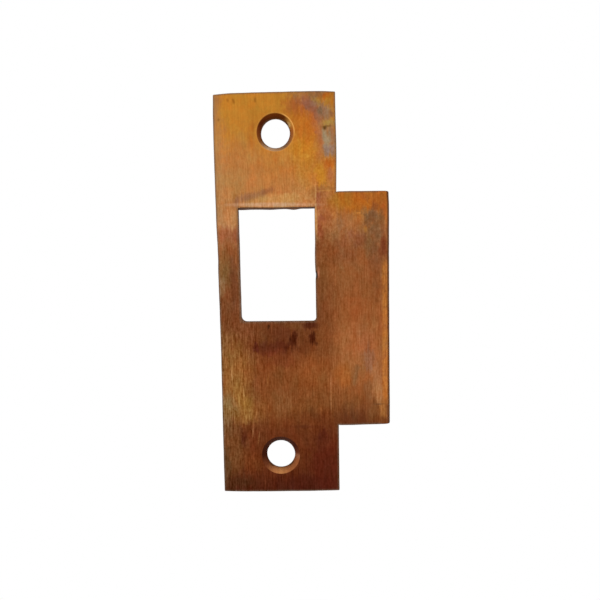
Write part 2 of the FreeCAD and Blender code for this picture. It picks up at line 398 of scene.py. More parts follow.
def wear_opening(bm):
    """The opening's uneven sides, its leaning and ragged upper wall, and the nick on its right side."""
    for vert in bm.verts:
        x, y, z = vert.co
        depth = (y - FRONT) / THICKNESS
        if abs(x) < OPENING_SIDE + EDGE_WEAR_REACH and OPENING_BOTTOM < z < OPENING_TOP + TOLERANCE:
            side = fade(abs(abs(x) - OPENING_SIDE), EDGE_WEAR_REACH)
            vert.co.x += side * file_marks(z, OPENING_MARKS + math.copysign(1, x))
        if abs(x) < OPENING_SIDE + TOLERANCE:
            above = fade(abs(z - OPENING_TOP), EDGE_WEAR_REACH)
            lift = FRONT_LIFT + LEFT_LIFT * fade(x + OPENING_SIDE, LEFT_LIFT_REACH)
            drop = REAR_DROP + rise(x, *REAR_DIPS) - file_marks(x, WALL_MARKS)
            vert.co.z += above * (lift * (1 - depth) - drop * depth)
            below = fade(abs(z - OPENING_BOTTOM), EDGE_WEAR_REACH)
            vert.co.z -= below * OPENING_TILT * (x - LEVEL_PLACE)
        beside = fade(abs(x - OPENING_SIDE), NICK_REACH) if x > 0 else 0
        nick = rise(z, NICK) * (1 - NICK_TAPER * depth)
        vert.co.x += beside * (nick - rise(z, SWELLING))


def wave_faces(bm):
    """The faces aren't quite flat."""
    for vert in bm.verts:
        place = Vector((vert.co.x, FACE_LAYER, vert.co.z)) / FACE_WAVE_LENGTH
        vert.co.y += FACE_WAVE * noise.noise(place)


def mark_rims(bm):
    """Marks the points on the outer edges and the opening's edges, for the painted shade that lies along
    them.
    """
    bm.normal_update()
    rim = bm.verts.layers.float.new(RIM)
    for vert in bm.verts:
        on_edge = min(abs(face.normal.y) for face in vert.link_faces) < FLAT
        by_hole = any(from_axis(vert.co, hole) < UNSHADED_RADIUS for hole in (UPPER_HOLE, LOWER_HOLE))
        bright = abs(vert.co.x) < BRIGHT_SIDE and abs(vert.co.z - OPENING_TOP) < BRIGHT_REACH
        if on_edge and not by_hole and not bright and vert.co.x < LEADING_EDGE - 2 * LEADING_RADIUS:
            vert[rim] = 1.0


def make_plate():
    """The worn plate, which stands in for the plain one."""
    bm = bmesh.new()
    lay_flat_sheet(bm)
    open_screw_hole(bm, UPPER_HOLE)
    open_screw_hole(bm, LOWER_HOLE)
    thicken(bm)
    sink_screw_hole(bm, UPPER_HOLE)
    sink_screw_hole(bm, LOWER_HOLE)
    round_leading_edge(bm)
    round_opening_corner(bm, -OPENING_SIDE, LEFT_CORNER)
    round_opening_corner(bm, OPENING_SIDE, RIGHT_CORNER)
    soften_edges(bm)
    bend_lip(bm)
    wear_outline(bm)
    wear_opening(bm)
    wave_faces(bm)
    mark_rims(bm)
    bmesh.ops.scale(bm, vec=(MM, MM, MM), verts=bm.verts)
    for face in bm.faces:
        face.smooth = True
    mesh = bpy.data.meshes.new("worn_strike_plate")
    bm.to_mesh(mesh)
    bm.free()
    mesh.set_sharp_from_angle(angle=SHARP_ANGLE)
    plate = bpy.data.objects.new("worn_strike_plate", mesh)
    bpy.context.scene.collection.objects.link(plate)
    plate.modifiers.new("face_normals", "WEIGHTED_NORMAL").keep_sharp = True
    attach(plate, "root")
    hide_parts(PLATE)
    return plate


# Node building


def put(tree, kind, **settings):
    """A new node with these settings."""
    node = tree.nodes.new(kind)
    for name, value in settings.items():
        setattr(node, name, value)
    return node


def feed(tree, socket, value):
    """Sets a socket's value, or links it to another node's output."""
    if isinstance(value, bpy.types.NodeSocket):
        tree.links.new(value, socket)
    else:
        socket.default_value = value


def reckon(tree, operation, first, second=0.0, third=0.0):
    """A sum, product or other figure of up to three values."""
    node = put(tree, "ShaderNodeMath", operation=operation)
    for socket, value in zip(node.inputs, (first, second, third)):
        feed(tree, socket, value)
    return node.outputs[0]


def ease(tree, value, low, high, at_low=0.0, at_high=1.0):
    """A smooth step from one value to another as the given value goes from low to high."""
    node = put(tree, "ShaderNodeMapRange", interpolation_type="SMOOTHSTEP")
    for name, setting in (("Value", value), ("From Min", low), ("From Max", high)):
        feed(tree, node.inputs[name], setting)
    feed(tree, node.inputs["To Min"], at_low)
    feed(tree, node.inputs["To Max"], at_high)
    return node.outputs["Result"]


def lay(tree, under, over, share, blend="MIX"):
    """One colour laid over another by a share."""
    node = put(tree, "ShaderNodeMix", data_type="RGBA", blend_type=blend)
    feed(tree, node.inputs[0], share)
    feed(tree, node.inputs[6], under)
    feed(tree, node.inputs[7], over)
    return node.outputs[2]


def split(tree, vector):
    """The three parts of a vector."""
    node = put(tree, "ShaderNodeSeparateXYZ")
    feed(tree, node.inputs[0], vector)
    return node.outputs


def stretch(tree, position, scale):
    """The position scaled along each axis."""
    node = put(tree, "ShaderNodeMapping")
    feed(tree, node.inputs["Vector"], position)
    feed(tree, node.inputs["Scale"], scale)
    return node.outputs[0]


def cloud(tree, position, grain):
    """Noise from 0 to 1, about 0.5."""
    stretched = stretch(tree, position, grain.scale)
    node = put(tree, "ShaderNodeTexNoise")
    feed(tree, node.inputs["Vector"], stretched)
    feed(tree, node.inputs["Scale"], 1.0)
    feed(tree, node.inputs["Detail"], grain.detail)
    feed(tree, node.inputs["Roughness"], grain.roughness)
    return node.outputs[0]


def swing(tree, noise_value, reach):
    """Noise as a value about 0."""
    return reckon(tree, "MULTIPLY_ADD", noise_value, reach, -reach / 2)


def seen(red, green, blue):
    """A colour as it looks on a screen, from 0 to 255, as the linear colour that a shader takes."""
    linear = [((part / 255 + 0.055) / 1.055) ** 2.4 for part in (red, green, blue)]
    return (*linear, 1.0)


def tones(tree, value, stops):
    """A run of colours along a value; each stop is its place and its colour as seen."""
    low = stops[0][0]
    span = stops[-1][0] - low
    share = reckon(tree, "MULTIPLY_ADD", value, 1 / span, -low / span)
    node = put(tree, "ShaderNodeValToRGB")
    feed(tree, node.inputs[0], share)
    ramp = node.color_ramp
    for place, colour in stops[1:-1]:
        ramp.elements.new((place - low) / span).color = seen(*colour)
    ramp.elements[0].color = seen(*stops[0][1])
    ramp.elements[-1].color = seen(*stops[-1][1])
    return node.outputs[0]


# Aged brass

# Tarnish along the strip and along the lip, from the bottom up: height and colour; the darkening towards
# the bottom is partly painted shade, as the light falls off downwards
STRIP_TONES = (
    (-43.0, (80, 33, 18)),
    (-36.0, (102, 48, 22)),
    (-29.0, (109, 54, 26)),
    (-24.0, (130, 74, 35)),
    (-15.0, (131, 72, 35)),
    (-9.0, (116, 62, 31)),
    (5.0, (127, 75, 41)),
    (11.0, (147, 87, 48)),
    (15.0, (178, 121, 74)),
    (24.0, (187, 123, 64)),
    (34.0, (189, 124, 46)),
    (43.0, (188, 124, 42)),
)
LIP_TONES = (
    (-43.0, (88, 35, 20)),
    (-29.0, (98, 46, 23)),
    (-26.0, (106, 58, 31)),
    (-22.0, (138, 82, 42)),
    (-18.0, (155, 93, 49)),
    (-12.0, (160, 97, 53)),
    (-5.0, (153, 89, 46)),
    (2.0, (146, 86, 45)),
    (9.0, (139, 83, 47)),
    (14.0, (157, 100, 58)),
    (17.0, (172, 105, 46)),
    (22.0, (173, 103, 38)),
    (27.0, (186, 120, 44)),
    (43.0, (176, 110, 40)),
)

# A stain, painted highlight or painted shadow: colour, middle, reach across and along the strip, softness
# of its edge, strength, lean in degrees
Stain = namedtuple("Stain", "colour x z across along edge strength lean", defaults=(0,))
STAINS = (
    # Dull tan down the left side
    Stain((180, 121, 68), -8.0, 27.0, 4.5, 6.0, 0.8, 0.6),
    Stain((178, 126, 76), -12.6, 26.0, 2.2, 12.0, 0.7, 0.75),
    Stain((176, 128, 82), -11.8, 17.0, 1.8, 2.6, 0.6, 0.7),
    Stain((166, 111, 66), -12.4, 39.0, 0.9, 3.0, 0.7, 0.75),
    Stain((160, 108, 64), -12.0, 42.0, 1.0, 1.2, 0.8, 0.6),
    Stain((192, 136, 84), -10.0, 17.2, 1.2, 1.6, 0.7, 0.8),
    Stain((178, 106, 38), -4.7, 34.6, 0.7, 2.2, 0.7, 0.7),
    # Orange flush and rose bloom at the upper right
    Stain((188, 103, 33), 6.3, 36.0, 3.0, 4.6, 0.5, 0.75),
    Stain((174, 98, 38), 3.6, 39.6, 2.0, 1.6, 0.7, 0.65),
    Stain((166, 90, 44), 5.2, 40.0, 2.4, 1.4, 0.6, 0.8),
    Stain((166, 92, 48), 7.2, 38.4, 1.3, 1.2, 0.6, 0.7),
    Stain((182, 98, 52), 8.4, 36.6, 0.9, 1.8, 0.7, 0.7),
    Stain((156, 102, 58), 6.4, 42.0, 3.4, 0.8, 0.6, 0.7),
    Stain((148, 94, 70), 7.4, 39.9, 2.8, 1.2, 0.6, 0.9, -38),
    Stain((148, 92, 64), 9.2, 37.6, 0.7, 1.6, 0.6, 0.8),
    Stain((150, 116, 62), 9.0, 40.6, 1.6, 0.6, 0.6, 0.75, -35),
    Stain((146, 110, 84), 10.6, 38.6, 1.3, 1.9, 0.55, 0.85),
    Stain((118, 96, 70), 9.9, 38.9, 0.4, 0.6, 0.6, 0.7),
    Stain((146, 106, 84), 8.3, 40.1, 0.9, 0.7, 0.6, 0.7),
    Stain((138, 100, 66), 9.2, 42.0, 1.5, 0.7, 0.6, 0.75),
    Stain((152, 94, 44), 9.8, 41.4, 0.8, 0.6, 0.6, 0.6),
    Stain((178, 94, 26), 10.8, 41.6, 0.8, 0.7, 0.5, 0.85),
    Stain((176, 122, 42), 11.1, 40.6, 0.5, 0.9, 0.5, 0.8),
    Stain((180, 112, 36), 12.2, 41.0, 0.5, 1.2, 0.5, 0.7),
    Stain((144, 92, 58), 11.8, 38.0, 0.5, 0.8, 0.6, 0.7),
    Stain((164, 114, 72), 11.2, 33.2, 1.5, 3.6, 0.4, 0.8),
    Stain((176, 134, 66), 11.3, 36.1, 1.9, 0.6, 0.5, 0.85, 4),
    Stain((168, 105, 68), 9.3, 32.6, 0.9, 4.0, 0.7, 0.8),
    Stain((154, 107, 73), 12.2, 32.6, 0.7, 3.0, 0.6, 0.8),
    Stain((158, 136, 104), 10.8, 32.6, 1.0, 2.1, 0.45, 0.9),
    Stain((152, 122, 108), 11.2, 31.0, 1.1, 1.0, 0.9, 0.85),
    Stain((182, 96, 30), 11.3, 28.0, 1.0, 1.1, 0.6, 0.85),
    Stain((174, 110, 70), 11.8, 25.8, 0.8, 1.2, 0.6, 0.7),
    Stain((200, 134, 38), 9.4, 25.4, 1.1, 2.2, 0.5, 0.85),
    Stain((197, 131, 38), 6.2, 30.4, 2.8, 2.4, 0.6, 0.7),
    Stain((191, 121, 44), 6.6, 26.6, 2.6, 2.8, 0.8, 0.75),
    Stain((166, 108, 54), 10.3, 22.9, 1.8, 0.5, 0.4, 0.7),
    Stain((166, 106, 54), 7.9, 22.2, 0.9, 0.9, 0.7, 0.65),
    # Brighter metal above the opening
    Stain((200, 144, 82), 0.6, 20.6, 5.4, 1.4, 0.5, 0.8, 3),
    # Red and rose beside the opening
    Stain((160, 92, 46), 9.8, 21.0, 1.4, 1.2, 0.6, 0.8),
    Stain((150, 84, 56), 8.9, 20.6, 0.6, 1.9, 0.4, 0.8),
    Stain((170, 100, 58), 10.4, 18.4, 2.0, 3.6, 0.5, 0.75),
    Stain((148, 78, 54), 9.3, 16.4, 0.9, 0.9, 0.5, 0.6),
    Stain((150, 76, 50), 9.2, 14.0, 0.7, 1.8, 0.4, 0.7),
    Stain((152, 84, 54), -8.9, 13.6, 0.9, 1.5, 0.5, 0.75),
    Stain((154, 88, 58), -11.2, 13.8, 1.8, 1.6, 0.6, 0.65),
    Stain((128, 76, 50), -8.2, 13.0, 0.5, 1.3, 0.6, 0.7),
    Stain((136, 100, 56), -11.6, 6.2, 1.3, 4.0, 0.8, 0.6),
    Stain((148, 112, 76), -12.5, 2.8, 0.9, 2.0, 0.7, 0.85),
    Stain((112, 62, 38), -9.4, 3.0, 0.8, 6.0, 0.6, 0.5),
    Stain((134, 92, 54), -12.5, -8.5, 0.7, 3.2, 0.7, 0.7),
    Stain((136, 88, 48), -11.4, -9.2, 1.4, 2.4, 0.8, 0.6),
    # Golden head of the lip and the grey-brown patch below it
    Stain((172, 108, 34), 13.6, 20.2, 2.6, 1.8, 0.6, 0.8),
    Stain((182, 98, 28), 18.4, 20.6, 2.6, 1.6, 0.6, 0.8),
    Stain((164, 90, 38), 18.8, 21.2, 1.6, 0.7, 0.6, 0.7),
    Stain((182, 104, 32), 16.2, 18.6, 1.4, 1.0, 0.6, 0.7),
    Stain((164, 108, 64), 14.6, 15.8, 3.0, 1.8, 0.7, 0.7),
    Stain((150, 104, 68), 13.6, 15.0, 0.8, 1.2, 0.6, 0.6),
    Stain((138, 79, 45), 13.8, 11.6, 1.6, 1.1, 0.6, 0.6),
    Stain((152, 92, 62), 15.8, 13.4, 0.7, 0.9, 0.5, 0.6),
    Stain((160, 92, 36), 21.8, 20.2, 1.8, 2.2, 0.6, 0.6),
    Stain((166, 82, 32), 22.9, 17.6, 0.6, 1.8, 0.6, 0.6),
    Stain((126, 96, 68), 20.2, 16.9, 1.9, 1.5, 0.6, 0.85, -15),
    Stain((144, 86, 44), 21.0, 18.9, 0.9, 1.0, 0.6, 0.7),
    Stain((124, 84, 50), 19.4, 16.4, 1.1, 1.5, 0.6, 0.8),
    Stain((132, 84, 46), 22.2, 16.0, 0.9, 1.8, 0.6, 0.7),
    Stain((128, 90, 58), 20.9, 13.8, 1.2, 1.8, 0.6, 0.8),
    Stain((126, 83, 47), 19.3, 10.8, 1.0, 2.4, 0.6, 0.7),
    Stain((126, 84, 52), 20.7, 9.6, 0.9, 3.4, 0.6, 0.75),
    Stain((124, 74, 38), 20.8, 3.2, 0.5, 3.4, 0.6, 0.75),
    Stain((116, 54, 28), 22.7, 10.6, 0.9, 1.9, 0.6, 0.85),
    Stain((130, 72, 48), 17.6, 12.4, 1.2, 1.6, 0.5, 0.5),
    Stain((158, 88, 44), 18.2, 8.2, 1.2, 2.0, 0.5, 0.6),
    Stain((130, 75, 36), 10.3, 8.0, 1.6, 8.0, 0.6, 0.6),
    Stain((128, 69, 34), 8.9, 11.0, 1.0, 2.0, 0.5, 0.75),
    Stain((136, 75, 36), 11.9, 10.0, 1.2, 1.7, 0.6, 0.6),
    Stain((154, 91, 48), 14.6, 5.2, 4.2, 2.2, 0.8, 0.7),
    # Lower lip: greyed, rose and orange patches
    Stain((156, 90, 48), 18.4, -2.6, 2.0, 3.0, 0.7, 0.6),
    Stain((164, 100, 58), 16.4, -8.0, 1.6, 1.8, 0.6, 0.6),
    Stain((168, 98, 58), 18.2, -9.4, 1.8, 2.8, 0.5, 0.7),
    Stain((148, 100, 70), 19.6, -13.4, 1.3, 2.4, 0.5, 0.8),
    Stain((168, 108, 66), 21.0, -18.4, 1.2, 3.4, 0.5, 0.8),
    Stain((134, 90, 54), 16.3, -17.0, 0.9, 2.4, 0.5, 0.75),
    Stain((134, 88, 52), 19.2, -20.2, 0.8, 2.2, 0.5, 0.7),
    Stain((170, 96, 42), 13.8, -16.6, 1.9, 2.6, 0.55, 0.75),
    Stain((166, 99, 54), 14.4, -8.8, 2.2, 3.2, 0.7, 0.75),
    Stain((134, 74, 36), 9.6, -8.6, 1.6, 3.4, 0.6, 0.7),
    Stain((147, 84, 40), 7.8, -16.2, 4.2, 3.4, 0.8, 0.75),
    Stain((174, 118, 71), 21.6, -20.6, 1.1, 2.6, 0.6, 0.85),
    Stain((138, 84, 44), 21.0, -25.4, 1.6, 1.4, 0.7, 0.75),
    Stain((168, 108, 54), 22.6, -24.6, 0.8, 2.0, 0.6, 0.85),
    Stain((122, 68, 32), 21.6, -27.2, 2.0, 0.8, 0.7, 0.7),
    # Dark smudges under the opening
    Stain((102, 52, 29), 0.9, -8.0, 2.8, 2.4, 0.7, 0.7),
    Stain((103, 53, 25), 5.5, -10.0, 1.2, 1.6, 0.7, 0.55),
    Stain((96, 43, 24), -1.4, -10.6, 4.0, 1.2, 0.5, 0.85),
    Stain((86, 37, 19), 2.0, -10.0, 1.2, 0.7, 0.5, 0.85, 20),
    Stain((90, 36, 22), -4.8, -10.5, 0.6, 0.9, 0.4, 0.8),
    Stain((110, 48, 26), -0.6, -11.9, 3.2, 0.8, 0.6, 0.65, -4),
    Stain((124, 58, 30), 0.8, -13.6, 2.8, 1.0, 0.7, 0.6),
    Stain((102, 52, 27), 3.8, -9.9, 0.8, 0.8, 0.6, 0.6),
    Stain((74, 30, 13), 3.15, -8.9, 0.8, 1.6, 0.5, 0.95, -8),
    Stain((72, 27, 11), 7.4, -8.5, 0.8, 1.4, 0.5, 0.95, 22),
    Stain((82, 37, 20), 6.7, -5.8, 1.7, 0.8, 0.5, 0.9),
    Stain((72, 36, 14), -2.2, -6.2, 0.35, 0.5, 0.4, 0.95),
    Stain((118, 70, 34), 3.0, -5.9, 1.6, 0.5, 0.5, 0.6),
    Stain((130, 76, 43), -7.6, -6.8, 1.7, 2.2, 0.7, 0.7),
    # Rubbed gold low on the left
    Stain((152, 101, 49), -9.6, -16.5, 3.0, 6.4, 0.8, 0.8),
    Stain((154, 106, 48), -8.9, -20.8, 1.4, 2.6, 0.8, 0.6, 20),
    Stain((132, 84, 38), -11.6, -18.3, 0.9, 0.9, 0.6, 0.7),
    Stain((157, 110, 48), -7.4, -23.6, 1.5, 2.0, 0.8, 0.75, 15),
    Stain((150, 102, 50), -8.4, -25.2, 2.2, 2.0, 0.6, 0.75),
    Stain((143, 87, 43), -4.4, -24.4, 1.7, 2.0, 0.7, 0.75),
    Stain((140, 108, 64), -11.8, -23.8, 1.5, 3.0, 0.8, 0.75),
    Stain((126, 92, 56), -12.2, -27.4, 1.2, 2.4, 0.7, 0.6),
    Stain((150, 108, 62), -11.0, -24.0, 1.6, 1.4, 0.8, 0.7),
    Stain((138, 85, 46), 0.8, -22.4, 1.8, 3.2, 0.6, 0.8),
    Stain((118, 66, 36), -5.4, -18.6, 0.8, 2.0, 0.6, 0.35),
    # Brown and maroon round the lower screw hole
    Stain((118, 72, 37), -10.8, -33.0, 2.8, 5.0, 0.6, 0.8),
    Stain((113, 58, 25), -6.4, -36.0, 1.9, 2.4, 0.7, 0.7),
    Stain((120, 67, 33), -8.6, -35.0, 1.6, 2.0, 0.8, 0.6),
    Stain((84, 34, 18), -8.3, -30.6, 0.7, 1.8, 0.6, 0.8),
    Stain((96, 62, 34), -12.4, -37.0, 0.9, 5.0, 0.5, 0.7),
    Stain((80, 44, 22), -9.6, -40.6, 3.4, 1.6, 0.6, 0.75),
    Stain((90, 33, 19), 9.6, -36.4, 3.4, 6.6, 0.6, 0.75),
    Stain((106, 52, 24), 8.2, -26.0, 2.6, 1.8, 0.7, 0.65),
    Stain((84, 30, 18), 9.2, -29.4, 1.0, 1.2, 0.5, 0.6),
    Stain((101, 47, 21), 9.4, -26.8, 1.4, 1.4, 0.7, 0.5),
    Stain((72, 26, 16), 6.0, -42.4, 7.0, 0.7, 0.7, 0.6),
    Stain((78, 29, 17), 5.0, -40.6, 6.0, 1.4, 0.6, 0.6),
)

# The smudge above the opening, laid without drift but broken into upright streaks
SMUDGES = (
    Stain((146, 99, 72), -8.2, 20.4, 0.6, 1.0, 0.7, 0.6, -25),
    Stain((144, 98, 72), -6.2, 21.4, 2.0, 0.8, 0.7, 0.6, 14),
    Stain((150, 98, 66), -3.4, 22.0, 2.0, 0.6, 0.8, 0.45, 14),
    Stain((144, 88, 56), -1.6, 22.7, 1.0, 0.5, 0.9, 0.6, 20),
    Stain((140, 88, 60), -2.7, 22.3, 0.5, 0.5, 0.8, 0.35),
    Stain((176, 108, 56), 1.8, 22.3, 1.5, 0.25, 0.7, 0.55),
)

# Fine straight marks, laid without drift: scribed lines, scratches, the opening's worn edges, and painted
# highlights on the opening's rounded upper edge and on the nick's rim
MARKS = (
    Stain((148, 94, 28), -9.6, 41.2, 0.25, 0.4, 0.7, 0.6, 10),
    Stain((144, 88, 24), -8.4, 41.0, 0.25, 0.6, 0.7, 0.7, 15),
    Stain((148, 90, 28), -3.9, 41.2, 0.25, 0.6, 0.7, 0.7),
    Stain((140, 88, 34), -11.6, 37.3, 0.2, 0.25, 0.7, 0.6),
    Stain((126, 86, 34), 10.8, 35.5, 0.9, 0.2, 0.6, 0.7, 5),
    Stain((86, 52, 14), 10.45, 35.15, 0.36, 0.36, 0.7, 0.85),
    Stain((206, 146, 62), 4.0, 29.2, 0.35, 0.5, 0.7, 0.5),
    Stain((206, 148, 58), 6.8, 29.6, 0.5, 0.35, 0.7, 0.5),
    Stain((204, 142, 50), 8.4, 26.6, 0.4, 0.5, 0.7, 0.5),
    Stain((146, 96, 28), 10.5, 23.9, 0.3, 0.25, 0.7, 0.6),
    Stain((158, 104, 36), 8.9, 24.0, 0.3, 0.25, 0.7, 0.5),
    Stain((206, 154, 94), 8.35, 21.4, 0.14, 2.4, 0.6, 0.6),
    Stain((198, 130, 62), 10.6, 22.42, 1.9, 0.12, 0.6, 0.5),
    Stain((196, 146, 88), 8.4, 16.4, 0.24, 2.9, 0.5, 0.8),
    Stain((182, 118, 72), 11.06, -20.5, 0.14, 3.4, 0.6, 0.75),
    Stain((180, 122, 74), -4.9, -30.6, 0.11, 1.4, 0.6, 0.42, -8),
    Stain((190, 136, 82), -10.4, -17.2, 0.12, 1.7, 0.6, 0.55, 4),
    Stain((186, 132, 76), -8.0, -20.0, 0.12, 1.5, 0.6, 0.55, 6),
    Stain((182, 122, 70), -5.4, -25.4, 0.13, 1.3, 0.6, 0.6, -4),
    Stain((176, 116, 64), -2.6, -17.6, 0.12, 1.3, 0.6, 0.5, -5),
    Stain((86, 36, 18), 5.2, -28.1, 2.8, 0.35, 0.8, 0.45),
    Stain((92, 58, 36), 21.6, -23.4, 1.1, 0.12, 0.6, 0.6),
    # Painted highlight on the nick's right rim
    Stain((190, 118, 84), 8.75, 5.4, 0.22, 1.0, 0.5, 0.8),
    Stain((206, 132, 62), 17.3, 17.7, 0.5, 0.15, 0.6, 0.75, 5),
    Stain((172, 112, 52), 18.8, 14.3, 0.35, 0.6, 0.6, 0.75),
    Stain((174, 116, 68), -6.2, -29.4, 0.1, 1.0, 0.6, 0.38, -5),
    # Painted highlight on the rounded upper edge of the opening
    Stain((206, 160, 122), -0.8, 19.75, 8.0, 0.4, 0.6, 0.78, -1),
)

# Painted shadow in the nick
NICK_SHADOW = Stain((46, 22, 14), 8.32, 4.85, 0.24, 0.8, 0.5, 0.95)

# Painted shade and highlight round each countersink, dark on the side turned from the light and bright on
# the side facing it: colours by share of a turn from its right-hand side, upwards
UPPER_SINK_SHADING = (
    (-0.5, (114, 55, 21)),
    (-0.42, (122, 70, 30)),
    (-0.32, (190, 150, 112)),
    (-0.25, (182, 138, 98)),
    (-0.15, (136, 97, 64)),
    (0.02, (170, 95, 38)),
    (0.08, (190, 132, 58)),
    (0.16, (96, 44, 8)),
    (0.3, (100, 46, 12)),
    (0.41, (80, 30, 6)),
    (0.5, (114, 55, 21)),
)
LOWER_SINK_SHADING = (
    (-0.5, (63, 25, 11)),
    (-0.4, (108, 56, 31)),
    (-0.31, (172, 110, 66)),
    (-0.25, (184, 124, 74)),
    (-0.18, (156, 95, 55)),
    (-0.05, (152, 87, 50)),
    (-0.01, (156, 98, 66)),
    (0.02, (104, 50, 28)),
    (0.09, (70, 30, 19)),
    (0.2, (76, 42, 31)),
    (0.5, (63, 25, 11)),
)

# The painted highlight on the upper countersink's mouth: colour, middle and reach of its arc in turns, and
# width
MOUTH_HIGHLIGHT_COLOUR = (226, 164, 86)
RIM_MIDDLE = 0.085
RIM_REACH = 0.13
RIM_FAINTEST = 0.2
RIM_WIDTH = (0.18, 0.04)

# A glint low in the upper countersink
SINK_GLINT = Stain((208, 168, 106), 2.95, 36.2, 0.28, 0.5, 0.6, 0.85, 30)

# How soft each countersink's outline is, how strong its painted highlight, and the painted shade at the
# edge of the bore
MOUTH_OUTSET = 0.04
UPPER_SOFTNESS = 0.22
UPPER_RIM_SHARE = 0.9
LOWER_SOFTNESS = 0.06
LOWER_RIM_SHARE = 0.0
BORE_EDGE = (0.4, 0.05)
BORE_SHADE = -0.25

# Colours of the painted shade along the edges and on the walls, of the back, and of the rubbed leading edge
# with its painted highlight
EDGE_SHADE_COLOUR = (108, 88, 68)
EDGE_SHADE_SHARE = 0.5
WALL_SHADE_COLOUR = (92, 54, 26)
RUBBED_WALL_SHADE_COLOUR = (116, 74, 42)
BACK_COLOUR = (138, 86, 44)
DULL_BACK_COLOUR = (116, 68, 34)
LEADING_WEAR_AND_HIGHLIGHT_COLOUR = (182, 112, 50)

# Noise in the finish: scale in parts per millimetre along each axis, detail and roughness
Grain = namedtuple("Grain", "scale detail roughness")
LINES = Grain((1.5, 0.5, 0.05), 3.0, 0.65)
MOTTLE = Grain((0.9, 0.9, 0.55), 6.0, 0.7)
BLUSH = Grain((0.4, 0.4, 0.22), 4.0, 0.6)
BLOOM = Grain((0.8, 0.8, 0.7), 3.0, 0.6)
DRIFT_ACROSS = Grain((0.35, 0.35, 0.35), 5.0, 0.65)
DRIFT_ALONG = Grain((0.5, 0.5, 0.3), 5.0, 0.65)
FINE_LINES = Grain((3.6, 0.5, 0.3), 2.0, 0.6)
FINER_LINES = Grain((9.0, 0.5, 0.7), 2.0, 0.6)
SPECKS = Grain((2.6, 2.6, 2.0), 2.0, 0.6)
STROKES = Grain((2.8, 0.5, 0.3), 2.0, 0.6)

# How far the noise moves the stains, in millimetres, and makes the rims of stains, smudges and marks ragged
ACROSS_REACH = 2.4
ALONG_REACH = 2.8
DRAG_REACH = 3.6
STAIN_RAGGED = 1.5
SMUDGE_STREAKS = 2.4
MARK_RAGGED = 0.8

# How much each kind of noise changes red, green and blue
LINES_TINT = (0.35, 0.4, 0.5)
MOTTLE_TINT = (0.5, 0.6, 0.7)
BLUSH_TINT = (0.3, -0.3, -0.5)
BLOOM_TINT = (0.15, -0.15, -0.4)
BRUSHING_TINT = (0.75, 1.25, 2.2)
CONE_TINT = (0.3, 0.4, 0.5)
BORE_TINT = (1.0, 1.0, 0.9)

# Easings over x, z, noise or the way a face turns: from, to and, where not 0 and 1, the values there
LIP_TONES_X = (8.3, 15.0)
LEADING_X = (22.0, 22.6)
LEADING_HEAD_Z = (9.0, 6.0)
LEADING_FOOT_Z = (-24.5, -21.5)
LEADING_MOTTLE = (0.35, 0.6, 0.35, 0.95)
BACK_BLUSH = (0.25, 0.75)
BACK_FACING = (0.3, 0.8)
BLOOM_Z = (-5.0, 12.0, 0.3, 1.0)
WALL_LOW_X = (20.0, 21.0, 0.97, 0.96)
WALL_HIGH_X = (20.0, 21.0, 0.7, 0.68)
WALL_MOTTLE = (0.45, 0.75)
CONE_FACING = (-0.5, -0.6)

# Brushing: how far its lines and specks swing, its leaning strokes, and how deep it is from place to place
FINE_SWING = 0.9
FINER_SWING = 0.6
SPECK_SWING = 0.6
STROKE_LEAN = math.radians(3)
STROKE_STEP = (0.52, 0.74, 0.0, 0.34)
LOW_LEFT_X = (-1.0, -8.0)
LOW_LEFT_Z = (9.0, -8.0)
LOW_LEFT_DEPTH = 0.45
DEPTHS_Z = ((36.0, 28.0, 0.2, 0.37), (25.0, 20.0, 0.0, 0.25), (19.0, 8.0, 0.0, 0.35))
LIP_DEPTH_X = (10.0, 14.0, 1.0, 0.75)
BLISTERED_X = (1.0, 5.0)
BLISTERED_Z = (4.0, 14.0, 0.2, 1.0)
BLISTERED_LINES = -0.3
BLISTERED_SPECKS = 0.45
RUBBED_Z = (-36.0, -28.0)

# Gloss of the brass
METALLIC = 0.9
WALL_DULLNESS = 0.9
SPECULAR = 0.02
ROUGHNESS = 0.42
BRUSHING_ROUGHNESS = -0.3
MOTTLE_ROUGHNESS = 0.12
BUMP_STRENGTH = 0.25
BUMP_HEIGHT = 0.03


def make_stain_group():
    """One blot: an ellipse with its two axes, ragged at its rim, over the colour under it."""
    group = bpy.data.node_groups.new("stain", "ShaderNodeTree")
    sockets = {
        "Under": "NodeSocketColor",
        "Colour": "NodeSocketColor",
        "Position": "NodeSocketVector",
        "Place": "NodeSocketVector",
        "Across": "NodeSocketVector",
        "Along": "NodeSocketVector",
        "Ragged": "NodeSocketFloat",
        "Edge": "NodeSocketFloat",
        "Strength": "NodeSocketFloat",
    }
    for name, kind in sockets.items():
        group.interface.new_socket(name, in_out="INPUT", socket_type=kind)
    group.interface.new_socket("Result", in_out="OUTPUT", socket_type="NodeSocketColor")
    given = put(group, "NodeGroupInput").outputs
    offset = put(group, "ShaderNodeVectorMath", operation="SUBTRACT")
    feed(group, offset.inputs[0], given["Position"])
    feed(group, offset.inputs[1], given["Place"])
    shares = []
    for axis in ("Across", "Along"):
        dot = put(group, "ShaderNodeVectorMath", operation="DOT_PRODUCT")
        feed(group, dot.inputs[0], offset.outputs[0])
        feed(group, dot.inputs[1], given[axis])
        shares.append(dot.outputs["Value"])
    squares = reckon(group, "MULTIPLY", shares[0], shares[0])
    distance = reckon(group, "SQRT", reckon(group, "MULTIPLY_ADD", shares[1], shares[1], squares))
    ragged = reckon(group, "ADD", distance, given["Ragged"])
    rim = reckon(group, "ADD", given["Edge"], 1.0)
    core = reckon(group, "SUBTRACT", 1.0, given["Edge"])
    share = ease(group, ragged, rim, core, 0.0, given["Strength"])
    result = lay(group, given["Under"], given["Colour"], share)
    feed(group, put(group, "NodeGroupOutput").inputs[0], result)
    return group


